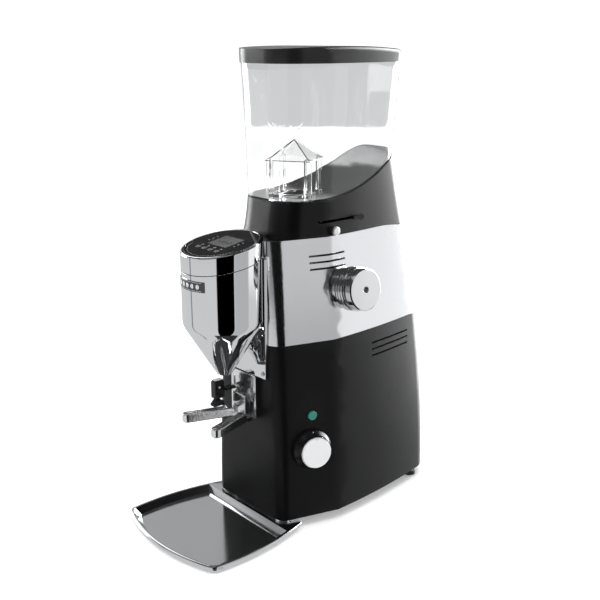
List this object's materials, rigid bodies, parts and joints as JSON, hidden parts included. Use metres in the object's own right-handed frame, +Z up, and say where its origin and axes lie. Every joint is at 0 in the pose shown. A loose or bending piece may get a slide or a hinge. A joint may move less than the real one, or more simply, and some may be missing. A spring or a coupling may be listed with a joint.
{
  "type": "burr coffee grinder",
  "caption": "On-demand burr coffee grinder with clear bean hopper, side grind knob, tilted display head, dosing funnel, portafilter fork and catch tray.",
  "frame": {"origin": "bottom centre of the whole machine's box, on the surface that it stands on", "axes": "+Z up, -Y towards the user (funnel, fork and tray side), +X towards the grind knob side"},
  "size_m": [0.2213, 0.4605, 0.64],
  "materials": {
    "casing_black": "satin black lacquer",
    "band_polished": "polished",
    "collar_gloss": "dark gloss",
    "lid_black": "satin gloss",
    "hopper_clear": "clear moulded plastic",
    "chrome": "mirror",
    "screw_steel": "machined",
    "rubber_black": "matt",
    "gland_black": "matt",
    "frame_steel": "plain",
    "cast_aluminium": "cast",
    "burr_steel": "ground",
    "bearing_steel": "ground",
    "wheel_brass": "machined",
    "worm_steel": "machined",
    "core_iron": "laminated",
    "fan_plastic": "matt",
    "capacitor_case": "matt",
    "board_green": "varnished board",
    "switch_black": "satin",
    "cap_silver": "pale grey satin",
    "lamp_green": "translucent lens",
    "panel_gloss": "gloss",
    "lcd_grey": "display glass",
    "key_grey": "satin",
    "badge_black": "gloss"
  },
  "bodies": {
    "casing": {"base_plate": "frame_steel", "lower_casing": "casing_black", "middle_band": "band_polished", "hopper_collar": "collar_gloss", "foot_shanks": "screw_steel", "foot_pads": "rubber_black", "cable_gland": "gland_black", "frame_pillars": "frame_steel", "top_plate": "frame_steel", "grinding_chamber": "cast_aluminium", "upper_burr": "burr_steel", "motor_top_shield": "cast_aluminium", "motor_bottom_shield": "cast_aluminium", "motor_housing": "cast_aluminium", "motor_stator": "core_iron", "lower_bearing": "bearing_steel", "run_capacitor": "capacitor_case", "control_board": "board_green", "knob_flange": "chrome", "switch_body": "switch_black", "pilot_light": "lamp_green", "display_ring": "chrome", "control_panel": "panel_gloss", "lcd_screen": "lcd_grey", "display_board": "board_green", "funnel": "chrome", "badge": "badge_black", "apron": "chrome", "apron_screws": "screw_steel", "outlet_chute": "cast_aluminium", "fork_bracket": "chrome", "hopper": "hopper_clear", "finger_guard": "hopper_clear"},
    "rotor": {"drive_shaft": "frame_steel", "motor_rotor": "core_iron", "cooling_fan": "fan_plastic", "sweeper": "burr_steel", "lower_burr": "burr_steel", "burr_bolt": "screw_steel"},
    "sleeve": {"adjusting_sleeve": "wheel_brass", "upper_bearing": "bearing_steel"},
    "grind_knob": {"grind_knob": "chrome", "knob_screw": "screw_steel", "worm_shaft": "worm_steel"},
    "power_knob": {"switch_knob": "switch_black", "switch_cap": "cap_silver"},
    "fork": {"fork_slide": "chrome", "fork_screws": "screw_steel", "fork_prong_left": "chrome", "fork_prong_right": "chrome", "start_switch": "switch_black"},
    "start_lever": {"start_lever": "switch_black"},
    "catch_tray": {"catch_tray": "chrome"},
    "hopper_gate": {"hopper_gate": "switch_black"},
    "hopper_lid": {"hopper_lid": "lid_black"},
    "lock_knob": {"lock_knob": "chrome"},
    "panel_key_1": {"panel_key_1": "key_grey"},
    "panel_key_2": {"panel_key_2": "key_grey"},
    "panel_key_3": {"panel_key_3": "key_grey"},
    "panel_key_4": {"panel_key_4": "key_grey"}
  },
  "joints": [
    {"name": "burr_drive", "type": "hinge", "parent": "casing", "child": "rotor", "pos_m": [-0.0055, 0.01075, 0.2], "axis": [0, 0, 1], "continuous": true},
    {"name": "grind_adjust", "type": "hinge", "parent": "casing", "child": "grind_knob", "pos_m": [0.06818, 0.03775, 0.326], "axis": [0.9925, 0, 0.1219], "range_deg": [-540, 540]},
    {"name": "sleeve_turn", "type": "hinge", "parent": "casing", "child": "sleeve", "pos_m": [-0.0055, 0.01075, 0.317], "axis": [0, 0, 1], "range_deg": [-22.5, 22.5]},
    {"name": "power_turn", "type": "hinge", "parent": "casing", "child": "power_knob", "pos_m": [0.07683, -0.03025, 0.114], "axis": [0.9621, -0.2694, 0.0417], "range_deg": [0, 90]},
    {"name": "fork_height", "type": "slide", "parent": "casing", "child": "fork", "axis": [0, 0, 1], "range_m": [-0.01, 0.01]},
    {"name": "start_press", "type": "hinge", "parent": "fork", "child": "start_lever", "pos_m": [-0.03, -0.10625, 0.191], "axis": [1, 0, 0], "range_deg": [0, 8], "stiffness_Nm_per_rad": 0.05, "springref_deg": -5.73},
    {"name": "tray_slide", "type": "slide", "parent": "casing", "child": "catch_tray", "axis": [0, -1, 0], "range_m": [0, 0.2]},
    {"name": "gate_slide", "type": "slide", "parent": "casing", "child": "hopper_gate", "axis": [0, -1, 0], "range_m": [0, 0.06]},
    {"name": "lid_lift", "type": "slide", "parent": "casing", "child": "hopper_lid", "axis": [0, 0, 1], "range_m": [0, 0.12]},
    {"name": "lock_pull", "type": "slide", "parent": "casing", "child": "lock_knob", "axis": [1, 0, 0], "range_m": [0, 0.005], "stiffness_N_per_m": 400, "springref_m": -0.002},
    {"name": "key_press_1", "type": "slide", "parent": "casing", "child": "panel_key_1", "axis": [0, 0.1822, -0.9833], "range_m": [0, 0.0006], "stiffness_N_per_m": 800, "springref_m": -0.0003},
    {"name": "key_press_2", "type": "slide", "parent": "casing", "child": "panel_key_2", "axis": [0, 0.1822, -0.9833], "range_m": [0, 0.0006], "stiffness_N_per_m": 800, "springref_m": -0.0003},
    {"name": "key_press_3", "type": "slide", "parent": "casing", "child": "panel_key_3", "axis": [0, 0.1822, -0.9833], "range_m": [0, 0.0006], "stiffness_N_per_m": 800, "springref_m": -0.0003},
    {"name": "key_press_4", "type": "slide", "parent": "casing", "child": "panel_key_4", "axis": [0, 0.1822, -0.9833], "range_m": [0, 0.0006], "stiffness_N_per_m": 800, "springref_m": -0.0003}
  ],
  "couplings": [
    {"joint": "sleeve_turn", "follows": "grind_adjust", "ratio": 0.041667}
  ]
}
